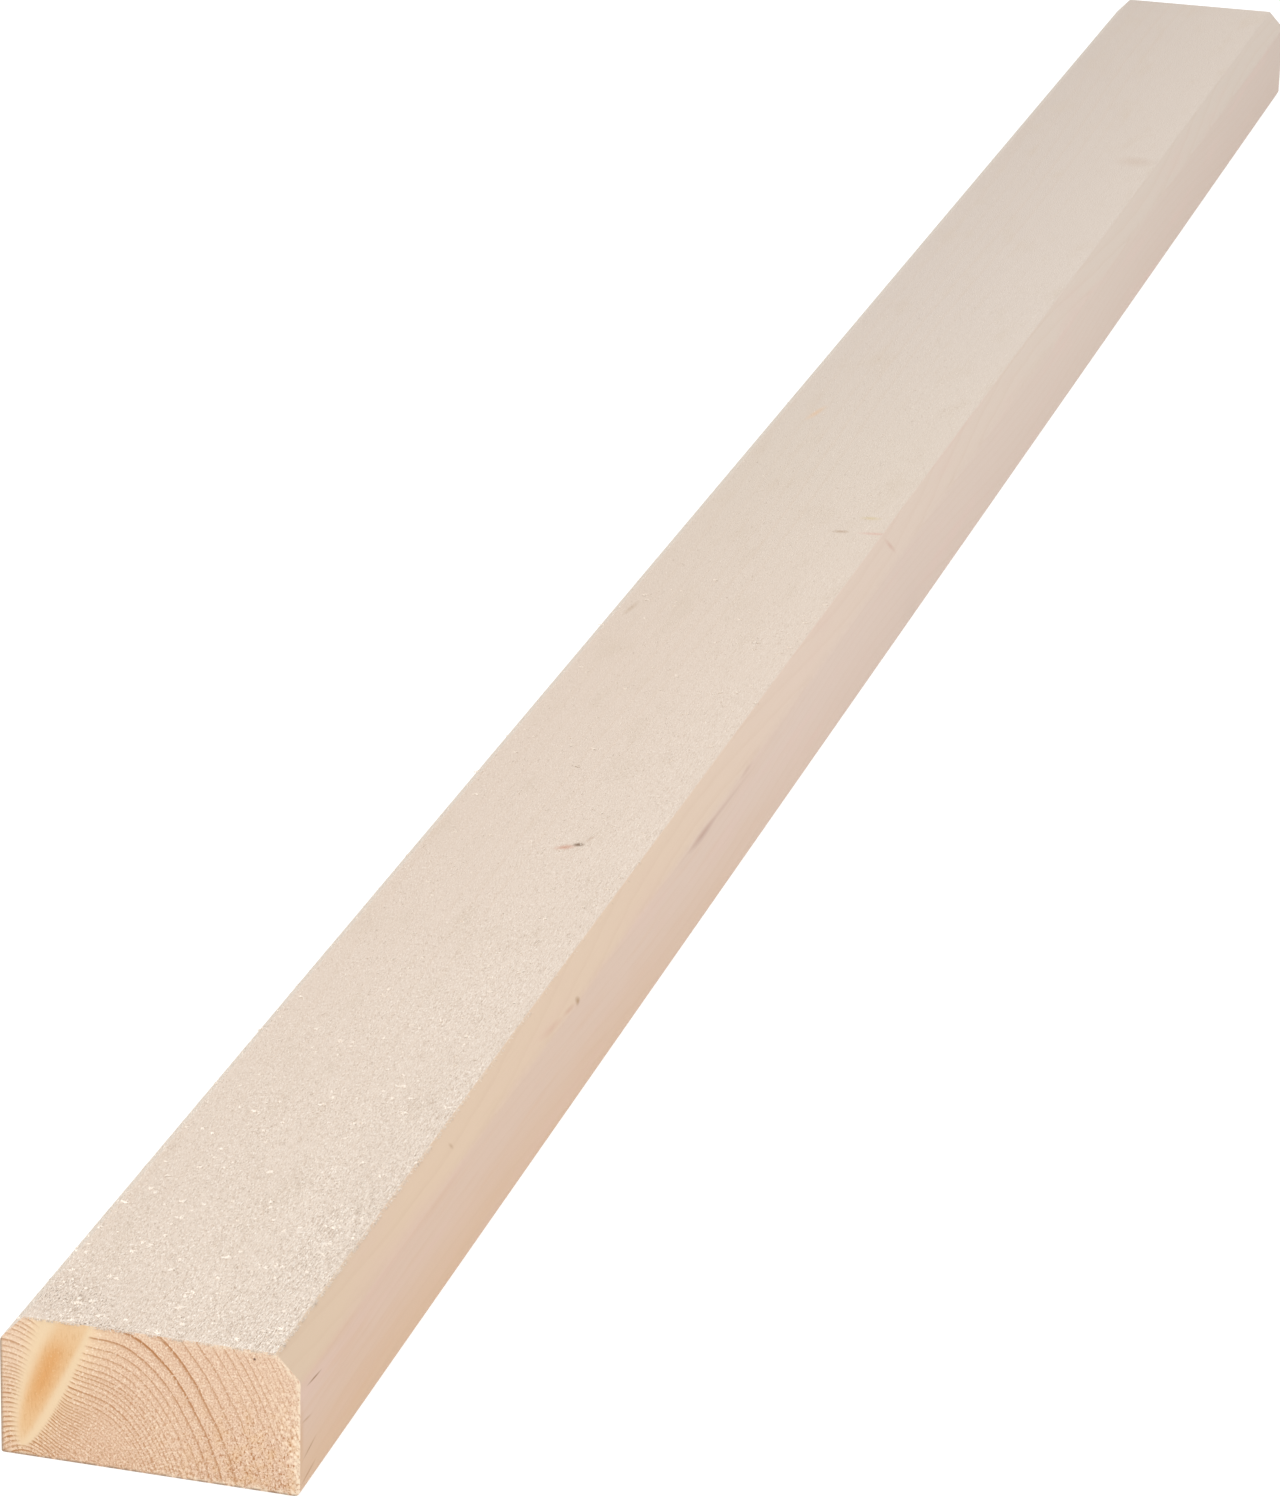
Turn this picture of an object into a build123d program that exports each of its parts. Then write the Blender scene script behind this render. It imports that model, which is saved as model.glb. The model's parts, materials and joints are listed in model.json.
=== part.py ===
from build123d import *
import os

# A softwood plank, planed on its bottom and both edges and left fine-sawn on top.
# It is one solid, cut square at both ends. Its long top arrises are bevelled.
# Millimetres. +X runs along the length, +Y to the left edge and +Z up to the sawn face.
# The origin is at the middle of the bottom face.

# Overall size, as the stock is sold
plank_length = 1800.0
plank_width = 98.0
plank_thickness = 48.0

# Bevels along the top arrises: how far each reaches over the sawn face and down the edge
bevel_across = 8.0
bevel_down = 8.5

# Rounding that the planer heads and handling leave where the flat faces meet
sawn_arris_radius = 0.8
bevel_foot_radius = 3.0
right_bottom_radius = 2.0
left_bottom_radius = 0.6


def section_corners():
    """The section's corners as (across, up), each with its radius, starting at the bottom left."""
    left = plank_width / 2
    right = -left
    bevel_foot = plank_thickness - bevel_down
    return [
        ((left, 0), left_bottom_radius),
        ((right, 0), right_bottom_radius),
        ((right, bevel_foot), bevel_foot_radius),
        ((right + bevel_across, plank_thickness), sawn_arris_radius),
        ((left - bevel_across, plank_thickness), sawn_arris_radius),
        ((left, bevel_foot), bevel_foot_radius),
    ]


def plank_section():
    """The closed section, square to the length, with every corner rounded as on the real stock."""
    corners, radii = zip(*section_corners())
    with BuildSketch(Plane.YZ) as section:
        with BuildLine():
            FilletPolyline(*corners, radius=radii, close=True)
        make_face()
    return section.sketch


def plank():
    """The section drawn out evenly both ways from the middle of the length."""
    return extrude(plank_section(), amount=plank_length / 2, both=True)


os.makedirs("parts", exist_ok=True)
solid = plank().solid()
export_step(solid, "parts/plank.step")
print("plank", round(solid.volume / 1000), "cm3,", solid.bounding_box().size)
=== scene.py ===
# %% [markdown]
# This lesson dresses one plank of spruce. The sawmill planed its bottom, both edges and the
# two bevels, and left the top face as the fine-toothed saw cut it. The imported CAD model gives
# the size and the place, and everything below is made around it, in the same frame.

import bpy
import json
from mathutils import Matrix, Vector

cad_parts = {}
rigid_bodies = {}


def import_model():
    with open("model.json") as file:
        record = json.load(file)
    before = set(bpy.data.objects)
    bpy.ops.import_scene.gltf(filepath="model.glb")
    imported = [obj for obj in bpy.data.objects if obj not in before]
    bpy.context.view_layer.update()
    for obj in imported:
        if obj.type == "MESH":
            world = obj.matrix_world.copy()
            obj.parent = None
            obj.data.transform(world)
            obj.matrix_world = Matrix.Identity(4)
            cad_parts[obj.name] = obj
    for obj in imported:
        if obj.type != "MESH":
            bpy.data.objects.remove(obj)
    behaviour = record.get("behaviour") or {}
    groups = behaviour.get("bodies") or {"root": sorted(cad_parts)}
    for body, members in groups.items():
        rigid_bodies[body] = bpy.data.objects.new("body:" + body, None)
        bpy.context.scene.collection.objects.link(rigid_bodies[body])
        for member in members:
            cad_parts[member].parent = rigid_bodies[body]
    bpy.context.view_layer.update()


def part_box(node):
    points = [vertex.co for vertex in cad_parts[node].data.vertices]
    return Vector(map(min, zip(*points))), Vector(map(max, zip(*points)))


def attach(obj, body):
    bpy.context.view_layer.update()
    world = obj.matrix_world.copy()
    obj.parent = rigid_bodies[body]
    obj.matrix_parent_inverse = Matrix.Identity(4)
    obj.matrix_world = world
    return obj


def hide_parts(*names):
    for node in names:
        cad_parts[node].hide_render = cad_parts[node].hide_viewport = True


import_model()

# %% [markdown]
# Wood is measured in millimetres, and Blender works in metres, so one factor turns the one
# into the other. The plank's ends, half width and thickness come from the CAD node's own box.

# %% Measures of the plank
import json
import math

import bpy
import numpy as np
from mathutils import Matrix, Vector
from mathutils.geometry import delaunay_2d_cdt

MM = 0.001

plank_low, plank_high = (np.array(corner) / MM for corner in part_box("plank"))
knot_end_x, far_end_x = plank_low[0], plank_high[0]
half_width = plank_high[1]
thickness = plank_high[2]
length = far_end_x - knot_end_x
print(f"plank {length:.0f} x {2 * half_width:.0f} x {thickness:.0f} mm")


def metres(along, across, up):
    """A place given in mm as (from the knot end, to the left, up), in metres in the frame."""
    return Vector((knot_end_x + along, across, up)) * MM


# %% [markdown]
# The photographer stood beyond the knot end, to the right of the plank, and looked down its
# length with a long lens. A camera can be turned by Euler angles, but here its three axes are
# worked out one by one, because that shows what each angle does.

# %% Camera
CAMERA_PLACE = (-1562.3, -563.2, 878.3)
TURN_LEFT = math.radians(14.773)
LOOK_DOWN = math.radians(20.940)
ROLL = math.radians(-1.475)
FOCAL_LENGTH_PIXELS = 5991.4
PICTURE_HEIGHT_PIXELS = 1496
SENSOR_MM = 36.0
FARTHEST_SEEN_M = 100.0

forward = Vector((
    math.cos(TURN_LEFT) * math.cos(LOOK_DOWN),
    math.sin(TURN_LEFT) * math.cos(LOOK_DOWN),
    -math.sin(LOOK_DOWN),
))
level_right = Vector((math.sin(TURN_LEFT), -math.cos(TURN_LEFT), 0.0))
level_down = forward.cross(level_right)
picture_right = level_right * math.cos(ROLL) + level_down * math.sin(ROLL)
picture_down = level_down * math.cos(ROLL) - level_right * math.sin(ROLL)

camera_data = bpy.data.cameras.new("camera")
camera_data.sensor_width = SENSOR_MM
camera_data.lens = FOCAL_LENGTH_PIXELS / PICTURE_HEIGHT_PIXELS * SENSOR_MM
camera_data.clip_end = FARTHEST_SEEN_M
camera = bpy.data.objects.new("camera", camera_data)
axes = Matrix((picture_right, -picture_down, -forward)).transposed()
camera.matrix_world = Matrix.Translation(metres(*CAMERA_PLACE)) @ axes.to_4x4()
bpy.context.scene.collection.objects.link(camera)
bpy.context.scene.camera = camera
print(f"camera lens {camera_data.lens:.1f} mm")

# %% [markdown]
# Colours are chosen as sRGB hex values, as a paint program shows them. Blender's sockets
# expect linear light, so one function turns the one into the other. A second function adds a
# shader node: its own settings are keywords, and each input is a value, or another node whose
# first output is then linked to it.

# %% Helpers for materials
def linear(hex_colour):
    """An sRGB hex value as the linear RGBA that Blender's colour sockets expect."""
    channels = [int(hex_colour[i:i + 2], 16) / 255 for i in (1, 3, 5)]
    curve = [c / 12.92 if c <= 0.04045 else ((c + 0.055) / 1.055) ** 2.4 for c in channels]
    return [*curve, 1.0]


def add(tree, kind, inputs=None, stops=None, **settings):
    """Adds one node with its settings, a ramp's stops and its inputs (values, nodes or sockets)."""
    node = tree.nodes.new("ShaderNode" + kind)
    for name, value in settings.items():
        setattr(node, name, value)
    for i, (position, tone) in enumerate(stops or []):
        ramp = node.color_ramp.elements
        element = ramp[i] if i < len(ramp) else ramp.new(1.0)
        element.position = position
        element.color = linear(tone) if isinstance(tone, str) else (tone, tone, tone, 1.0)
    for key, value in (inputs or {}).items():
        named = [socket for socket in node.inputs if socket.name == key and socket.enabled]
        socket = named[0] if named else node.inputs[key]
        if isinstance(value, bpy.types.Node):
            value = next(output for output in value.outputs if output.enabled)
        if isinstance(value, bpy.types.NodeSocket):
            tree.links.new(value, socket)
        else:
            socket.default_value = value
    return node


# %% [markdown]
# The floor is a plain pale sheet that glows a little, as a lit acrylic sheet does, so the plank
# casts hardly a shadow on it. The light is that of a white studio: an even glow from all round,
# and one large lamp high on the left that gives the fibres their small shadows.

# %% Floor and light
FLOOR_HALF_SIZE_M = 30.0
FLOOR_DROP_M = 0.0002
WORLD_STRENGTH = 1.0
LAMP_SIZE_M = 1.8
LAMP_PLACE_M = Vector((-1.1, 1.9, 2.0))
LAMP_AIM_M = Vector((-0.4, 0.0, 0.0))
LAMP_POWER_W = 26.0
FLOOR_GLOW = 0.85

scene = bpy.context.scene
scene.view_settings.view_transform = "Standard"

world = bpy.data.worlds.new("studio")
world.use_nodes = True
world.node_tree.nodes["Background"].inputs["Color"].default_value = linear("#FFFFFF")
world.node_tree.nodes["Background"].inputs["Strength"].default_value = WORLD_STRENGTH
scene.world = world

lamp_data = bpy.data.lights.new("soft_lamp", "AREA")
lamp_data.size = LAMP_SIZE_M
lamp_data.energy = LAMP_POWER_W
lamp = bpy.data.objects.new("soft_lamp", lamp_data)
lamp.location = LAMP_PLACE_M
lamp.rotation_euler = (LAMP_AIM_M - LAMP_PLACE_M).to_track_quat("-Z", "Y").to_euler()
scene.collection.objects.link(lamp)

floor_mesh = bpy.data.meshes.new("floor")
floor_sides = [(-1, -1), (1, -1), (1, 1), (-1, 1)]
floor_corners = [(x * FLOOR_HALF_SIZE_M, y * FLOOR_HALF_SIZE_M, -FLOOR_DROP_M) for x, y in floor_sides]
floor_mesh.from_pydata(floor_corners, [], [(0, 1, 2, 3)])
floor = bpy.data.objects.new("floor", floor_mesh)
scene.collection.objects.link(floor)

paper = bpy.data.materials.new("lit_white_acrylic_sheet")
paper.use_nodes = True
tree = paper.node_tree
tree.nodes.clear()
paper_shader = add(tree, "BsdfPrincipled", {"Base Color": linear("#898989"), "Roughness": 1.0})
paper_shader.inputs["Emission Color"].default_value = linear("#FFFFFF")
paper_shader.inputs["Emission Strength"].default_value = FLOOR_GLOW
add(tree, "OutputMaterial", {"Surface": paper_shader})
floor_mesh.materials.append(paper)

# %% [markdown]
# All relief on the wood comes from one kind of noise: a lattice of random numbers with smooth
# blends between them. Its cells can be longer one way than the other, as wood fibres are. Each
# use has a seed of its own, so that the plank is the same on every run. Two more shapes turn up
# again and again: a smooth rise from 0 to 1, and a soft bell round a place.

# %% Noise for relief
LATTICE_POINTS = 257


def smooth_step(value, start, end):
    """0 before start, 1 after end, and a smooth rise between them."""
    t = np.clip((value - start) / (end - start), 0, 1)
    return t * t * (3 - 2 * t)


def bell(value, middle, reach):
    """1 at the middle, about a third at the reach, and almost 0 at twice the reach."""
    return np.exp(-((value - middle) / reach) ** 2)


def lattice_noise(u, v, cell_u, cell_v, seed):
    """Smooth random values from -1 to 1 over a plane, with cells of the size given in mm."""
    lattice = np.random.default_rng(seed).uniform(-1, 1, (LATTICE_POINTS, LATTICE_POINTS))
    row, column = np.floor(u / cell_u).astype(int), np.floor(v / cell_v).astype(int)
    down = smooth_step(u / cell_u - row, 0, 1)
    beside = smooth_step(v / cell_v - column, 0, 1)
    row, column = row % LATTICE_POINTS, column % LATTICE_POINTS
    next_row, next_column = (row + 1) % LATTICE_POINTS, (column + 1) % LATTICE_POINTS
    first = (1 - beside) * lattice[row, column] + beside * lattice[row, next_column]
    second = (1 - beside) * lattice[next_row, column] + beside * lattice[next_row, next_column]
    return (1 - down) * first + down * second


# %% [markdown]
# A tree lays down one ring a year round its pith. The saw cut this plank from beside the pith,
# which lies below the plank's left part, so the end shows arcs, and the long faces show the
# same rings cut lengthwise. The rings could be painted on each face, but then they wouldn't
# meet at the arrises. So one function gives the distance from the pith at any place in the
# wood, and each face only asks it. A branch pulls the rings towards the pith beside it.

# %% Growth rings through the wood
PITH_FROM_LEFT = 12.7
PITH_UP = -14.2
RING_TILT = math.radians(14.9)
RING_OVAL = 0.74
STEM_TAPER = 0.004
PITH_WANDER = 2.5
PITH_WANDER_LENGTH = 620.0
NEAREST_TO_PITH = 1.0

KNOT_AXIS_FROM_LEFT = 17.0
KNOT_LEAN = math.radians(11.5)
KNOT_PULL = 9.11
KNOT_PULL_GROWTH = 0.31
KNOT_PULL_RADIUS = 50.0
KNOT_PULL_WIDTH = 14.8
KNOT_PULL_STEEPNESS = 1.6
KNOT_REACH = 34.0


def pith_distance(along, across, up):
    """The distance from the pith in mm, measured so that one year's wood has one value."""
    wander = PITH_WANDER * np.sin(along * 2 * math.pi / PITH_WANDER_LENGTH)
    sideways = half_width - across - PITH_FROM_LEFT - wander
    upward = up - PITH_UP
    long_way = sideways * math.cos(RING_TILT) + upward * math.sin(RING_TILT)
    short_way = (upward * math.cos(RING_TILT) - sideways * math.sin(RING_TILT)) * RING_OVAL
    radius = np.maximum(np.hypot(long_way, short_way), NEAREST_TO_PITH)
    from_foot = half_width - across - KNOT_AXIS_FROM_LEFT
    from_knot = from_foot * math.cos(KNOT_LEAN) - up * math.sin(KNOT_LEAN)
    fade = np.abs(from_knot / KNOT_PULL_WIDTH) ** KNOT_PULL_STEEPNESS + (along / KNOT_REACH) ** 2
    pull = KNOT_PULL * (radius / KNOT_PULL_RADIUS) ** KNOT_PULL_GROWTH * np.exp(-fade)
    return radius + pull + STEM_TAPER * along


# %% [markdown]
# The tree grew slowly when it was young, then fast for a few years, and slowly again. Each
# growth period below has a number of years and the width of its first and last ring. Added
# up, they turn a distance from the pith into a count of years.

# %% Years of growth
INNERMOST_DISTANCE = 12.0
GROWTH_PERIODS = [
    (16, 1.05, 1.10),
    (8, 0.90, 0.90),
    (4, 1.20, 1.55),
    (4, 1.60, 1.20),
    (4, 1.75, 2.30),
    (3, 3.00, 4.75),
    (7, 4.20, 1.75),
    (24, 1.60, 1.50),
]

ring_widths = np.concatenate([np.linspace(first, last, years) for years, first, last in GROWTH_PERIODS])
ring_edges = INNERMOST_DISTANCE + np.concatenate([[0.0], np.cumsum(ring_widths)])
all_years = len(ring_widths)


def years_at(distance):
    """How many years of wood lie inside a distance from the pith, with its fraction."""
    return np.interp(distance, ring_edges, np.arange(all_years + 1))


def ring_width_at(distance):
    """The width in mm of the rings at a distance from the pith."""
    return np.interp(distance, (ring_edges[1:] + ring_edges[:-1]) / 2, ring_widths)


print(all_years, "years of wood, to", round(ring_edges[-1]), "mm from the pith")

# %% [markdown]
# The section is a rectangle with two bevels, and every corner is rounded as the planer and
# handling leave it. The corners repeat the CAD model's sizes, because the frame gives only the
# outer box. Points are close together on the sawn face, where there is relief to show, and
# further apart on the planed ones. Each corner has a place (across, up), the radius of its round
# and the gap between the points on the side that follows it, all in mm.

# %% Outline of the section
BEVEL_ACROSS = 8.0
BEVEL_DOWN = 8.5
ARC_STEPS = 3

bevel_foot = thickness - BEVEL_DOWN
sawn_half_width = half_width - BEVEL_ACROSS
SECTION = [
    ((half_width, 0.0), 0.6, 9.0),
    ((-half_width, 0.0), 2.0, 3.2),
    ((-half_width, bevel_foot), 3.0, 2.2),
    ((-sawn_half_width, thickness), 0.8, 1.0),
    ((sawn_half_width, thickness), 0.8, 1.3),
    ((half_width, bevel_foot), 3.0, 5.0),
]


def corner_arc(before, corner, after, radius):
    """Points of the round at a corner, from where it leaves one side to where it meets the next."""
    back = (before - corner) / np.linalg.norm(before - corner)
    ahead = (after - corner) / np.linalg.norm(after - corner)
    half_angle = math.acos(back @ ahead) / 2
    middle = (back + ahead) / np.linalg.norm(back + ahead)
    centre = corner + middle * radius / math.sin(half_angle)
    reach = radius / math.tan(half_angle)
    first, last = (math.atan2(*(corner + way * reach - centre)[::-1]) for way in (back, ahead))
    sweep = (last - first + math.pi) % (2 * math.pi) - math.pi
    angles = first + sweep * np.linspace(0, 1, ARC_STEPS + 1)
    return centre + radius * np.stack([np.cos(angles), np.sin(angles)], 1)


def section_outline():
    """The section's points as (across, up), going round from the left bottom corner."""
    corners = [np.array(corner) for corner, _, _ in SECTION]
    count = len(corners)
    arcs = [
        corner_arc(corners[i - 1], corners[i], corners[(i + 1) % count], SECTION[i][1])
        for i in range(count)
    ]
    points = []
    for i, arc in enumerate(arcs):
        next_start = arcs[(i + 1) % count][0]
        steps = round(np.linalg.norm(next_start - arc[-1]) / SECTION[i][2])
        points += [*arc, *np.linspace(arc[-1], next_start, steps + 1)[1:-1]]
    return np.array(points)


outline = section_outline()
print(len(outline), "points round the section")

# %% [markdown]
# The body is lofted: the outline is repeated at stations along the length. The camera is near
# the knot end, so the stations start 1 mm apart there, and the gap grows in step with the
# distance. That keeps the mesh under its limit with no loss that the eye could find.

# %% Stations along the length
FIRST_GAP = 1.0
GAP_GROWTH = 0.0042

station_count = math.ceil(math.log(1 + GAP_GROWTH * length / FIRST_GAP) / GAP_GROWTH)
growth_power = np.linspace(0, math.log(1 + GAP_GROWTH * length / FIRST_GAP), station_count)
stations = (np.exp(growth_power) - 1) * FIRST_GAP / GAP_GROWTH
print(station_count, "stations, the last gap", round(stations[-1] - stations[-2], 1), "mm")

# %% [markdown]
# A fine-toothed saw leaves a face that feels like felt. Three functions describe it: how rough
# the fuzz is at a place, where fibres were torn out and left pits, which the sawn finish paints
# dark as their shade, and the relief itself, with one shallow ridge for each stroke of the blade.
# The knot's corner and the right arris, where the blade came out, are the roughest. Further along
# the plank the fuzz is finer. Where two sizes are given, the first is along the plank and the
# second across it.

# %% Relief of the sawn face
SAW_MARK_PITCH = 7.5
SAW_MARK_SLANT = 0.12
SAW_MARK_HEIGHT = 0.02
SAW_MARK_WAVER = 2.0
WAVER_SIZE = (60.0, 40.0)
WORN_MARK_SIZE = (90.0, 30.0)
FELT_HEIGHT = 0.07
FINE_FELT_SIZE = (3.4, 1.2)
COARSE_FELT_SIZE = (7.0, 2.2)
COARSE_FELT_SHARE = 0.7
FUZZ_PATCH_SIZE = (30.0, 14.0)
FUZZ_END_REACH = 25.0
FUZZ_FADE_LENGTH = 380.0
FUZZ_FADE_STEEPNESS = 1.3
FUZZ_LEFT_AT_FAR_END = 0.15
KNOT_CORNER_ALONG = 17.0
KNOT_CORNER_REACH = 9.0
END_PITS_REACH = 3.5
ARRIS_PITS_REACH = 240.0


def top_surface(across):
    """The height of the section's upper side: the sawn face, and the bevels beside it."""
    beyond = np.maximum(np.abs(across) - sawn_half_width, 0)
    return thickness - beyond * BEVEL_DOWN / BEVEL_ACROSS


def fuzz_amount(along, across):
    """How rough the sawn face is: 1 near the knot end, less further on and to the left."""
    patchy = 0.9 + 0.3 * lattice_noise(along, across, *FUZZ_PATCH_SIZE, seed=11)
    to_the_right = 0.72 + 0.38 * smooth_step(-across, -35.0, 38.0)
    beside_the_end = 1 + 0.45 * np.exp(-along / FUZZ_END_REACH)
    near = np.exp(-(np.maximum(along, 0) / FUZZ_FADE_LENGTH) ** FUZZ_FADE_STEEPNESS)
    fade = FUZZ_LEFT_AT_FAR_END + (1 - FUZZ_LEFT_AT_FAR_END) * near
    return patchy * to_the_right * beside_the_end * fade


def pitted_amount(along, across):
    """Where the saw tore fibres out: near the knot's corner, by the end's edge and the arris."""
    by_the_knot = bell(along, KNOT_CORNER_ALONG, KNOT_CORNER_REACH) * smooth_step(across, 12.0, 24.0)
    beside_the_knot = smooth_step(across, 0.0, 10.0) * smooth_step(-across, -28.0, -22.0)
    end_edge = bell(along, 0.0, END_PITS_REACH) * beside_the_knot
    right_arris = bell(along, 0.0, ARRIS_PITS_REACH) * smooth_step(-across, 14.0, 30.0)
    return np.clip(0.8 * by_the_knot + end_edge + 0.35 * right_arris, 0, 1)


def sawn_relief(along, across):
    """The height of the sawn face in mm over its flat plane."""
    waver = SAW_MARK_WAVER * lattice_noise(along, across, *WAVER_SIZE, seed=12)
    stroke = along + across * SAW_MARK_SLANT + waver
    worn = 0.6 + 0.4 * lattice_noise(along, across, *WORN_MARK_SIZE, seed=13)
    marks = SAW_MARK_HEIGHT * np.sin(2 * math.pi * stroke / SAW_MARK_PITCH) * worn
    fine_felt = lattice_noise(along, across, *FINE_FELT_SIZE, seed=14)
    coarse_felt = COARSE_FELT_SHARE * lattice_noise(along, across, *COARSE_FELT_SIZE, seed=15)
    return marks + FELT_HEIGHT * fuzz_amount(along, across) * (fine_felt + coarse_felt)


# %% [markdown]
# Now the outline is repeated at every station, and quads join each station to the next. The
# sawn face and the left bevel get the relief, which fades out before the planed faces and is
# calmer by the ends, so the cut edges stay straight. A curve with a bevel profile could make the
# loft too, but its points couldn't carry relief.

# %% Lofted faces
LEFT_BEVEL_FADE = (bevel_foot - 2.0, bevel_foot - 0.5)
RIGHT_ARRIS_FADE = (-sawn_half_width - 0.2, -sawn_half_width + 0.4)
CALM_LENGTH = 2.0
CALM_SHARE = 0.35

across_grid, up_grid = (np.tile(outline[:, i], (station_count, 1)) for i in (0, 1))
along_grid = np.repeat(stations[:, None], len(outline), 1)
is_sawn = smooth_step(up_grid, *LEFT_BEVEL_FADE) * smooth_step(across_grid, *RIGHT_ARRIS_FADE)
from_knot_end = smooth_step(along_grid, 0.0, CALM_LENGTH)
from_far_end = smooth_step(length - along_grid, 0.0, CALM_LENGTH)
lively = CALM_SHARE + (1 - CALM_SHARE) * (from_knot_end * from_far_end)
up_grid = up_grid + sawn_relief(along_grid, across_grid) * is_sawn * lively
side_points = np.stack([along_grid, across_grid, up_grid], 2).reshape(-1, 3)


def loft_faces(rows, columns):
    """Quads between neighbouring stations, going round the outline."""
    row, column = np.meshgrid(np.arange(rows - 1), np.arange(columns), indexing="ij")
    here, beside = row * columns + column, row * columns + (column + 1) % columns
    return np.stack([here, here + columns, beside + columns, beside], 2).reshape(-1, 4)


side_faces = loft_faces(station_count, len(outline))
print(len(side_points), "points and", len(side_faces), "quads on the long faces")

# %% [markdown]
# A branch that the saw cut along its length shows as a spike knot. On the end it is a long oval
# that leans to the right: a core with a darker heart, and pale wood round it. The core fades
# softly to the left, and ends sharply at a pale band on the right.

# %% The knot on the end
KNOT_TIP_UP = 3.0
KNOT_HEIGHT = thickness - KNOT_TIP_UP
KNOT_FOOT_FROM_LEFT = 6.0
KNOT_SLOPE = 0.33
KNOT_LEFT_REACH = 10.0
KNOT_RIGHT_REACH = 9.2
KNOT_LEFT_ROUNDNESS = 2.5
KNOT_RIGHT_ROUNDNESS = 1.8
CORE_LEFT_SHARE = -0.85
CORE_LEFT_SHARE_AT_TOP = -0.5
CORE_RIGHT_SHARE = 0.85
HEART_FROM_LEFT = 15.2
HEART_UP = 30.0
HEART_SLOPE = 0.4
HEART_HALF_WIDTH = 3.6
KNOT_DEPTH = 3.0
BORDER_SOFTNESS = 1.0
BORDER_SOFTER_TO_THE_LEFT = 2.2


def knot_inside(across, up):
    """How far inside the knot's oval a place is in mm, and its share of the way across and up."""
    rise = np.clip((up - KNOT_TIP_UP) / KNOT_HEIGHT, 0, 1)
    from_middle = half_width - across - KNOT_FOOT_FROM_LEFT - KNOT_SLOPE * up
    left = KNOT_LEFT_REACH * np.sqrt(1 - (1 - rise) ** KNOT_LEFT_ROUNDNESS)
    right = KNOT_RIGHT_REACH * np.sqrt(1 - (1 - rise) ** KNOT_RIGHT_ROUNDNESS)
    reach = np.where(from_middle < 0, left, right)
    return reach - np.abs(from_middle), from_middle / np.maximum(reach, 0.5), rise


def knot_halo(along, across, up):
    """1 in the knot, its pale border included, and 0 outside: soft to the left, firm to the right."""
    inside, share, _ = knot_inside(across, up)
    softness = BORDER_SOFTNESS + BORDER_SOFTER_TO_THE_LEFT * smooth_step(-share, 0.0, 0.6)
    return smooth_step(inside, -0.5 * softness, softness) * bell(along, 0.0, KNOT_DEPTH)


def knot_core(along, across, up):
    """1 in the knot's core: it fades softly to the left and ends firmly on the right."""
    _, share, rise = knot_inside(across, up)
    core_left = CORE_LEFT_SHARE + (CORE_LEFT_SHARE_AT_TOP - CORE_LEFT_SHARE) * rise ** 4
    from_the_left = smooth_step(share, core_left, core_left + 0.5)
    core_right = CORE_RIGHT_SHARE * rise ** 0.5
    softness = 0.45 - 0.33 * rise
    to_the_right = 1 - smooth_step(share, core_right - softness, core_right + softness / 2)
    height = smooth_step(up, 1.0, 12.0) * (1 - 0.4 * smooth_step(up, 36.0, 48.0))
    return from_the_left * to_the_right * height * knot_halo(along, across, up)


def knot_heart(along, across, up):
    """1 along the darkest line in the core, less beside it, at the tip and at the top."""
    from_line = half_width - across - HEART_FROM_LEFT - HEART_SLOPE * (up - HEART_UP)
    height = smooth_step(up, 10.0, 28.0) * (1 - 0.8 * smooth_step(up, 34.0, 44.0))
    return bell(from_line, 0.0, HEART_HALF_WIDTH) * height * knot_core(along, across, up)


# %% [markdown]
# The saw that cut the plank to length tore the ends of the fibres, so the end is velvety. Here
# a cloud of points fills the outline, a Delaunay triangulation joins them, and each point is
# pushed in or out. The knot's wood is denser, so it was cut cleaner, and its core stands out a
# little. The far end isn't seen in the picture, so it has fewer points and stays flat.

# %% Points and triangles of an end
KNOT_END_GRID = 0.62
FAR_END_GRID = 2.4
GRID_SHAKE = 0.3
END_MARGIN = 0.35
INSIDE_THE_LOOP = 1
MERGE_DISTANCE = 1e-5
TORN_HEIGHT = 0.035
CORE_HEIGHT = 0.06


def rim_distance(across, up):
    """How far inside the section's outline each place is, in mm."""
    edge = np.roll(outline, -1, 0) - outline
    edge /= np.linalg.norm(edge, axis=1)[:, None]
    inward = np.stack([edge[:, 1], -edge[:, 0]], 1)
    places = np.stack([across, up], 1)
    return ((places[:, None, :] - outline[None, :, :]) * inward[None, :, :]).sum(2).min(1)


def fill_section(grid, seed):
    """Points inside the outline on a shaken grid, and the triangles that join them to it."""
    rng = np.random.default_rng(seed)
    across, up = np.meshgrid(
        np.arange(-half_width, half_width, grid), np.arange(0, thickness, grid), indexing="ij"
    )
    cloud = np.stack([across.ravel(), up.ravel()], 1)
    cloud += rng.uniform(-GRID_SHAKE, GRID_SHAKE, cloud.shape) * grid
    cloud = cloud[rim_distance(*cloud.T) > END_MARGIN * max(grid, 1)]
    count = len(outline)
    points = [Vector(p) for p in (*outline, *cloud)]
    loop = [(i, (i + 1) % count) for i in range(count)]
    section = [list(range(count))]
    result = delaunay_2d_cdt(points, loop, section, INSIDE_THE_LOOP, MERGE_DISTANCE)
    triangles, origin = result[2], result[3]
    source = [sources[0] for sources in origin]
    return cloud, np.array([[source[i] for i in triangle] for triangle in triangles])


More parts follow.
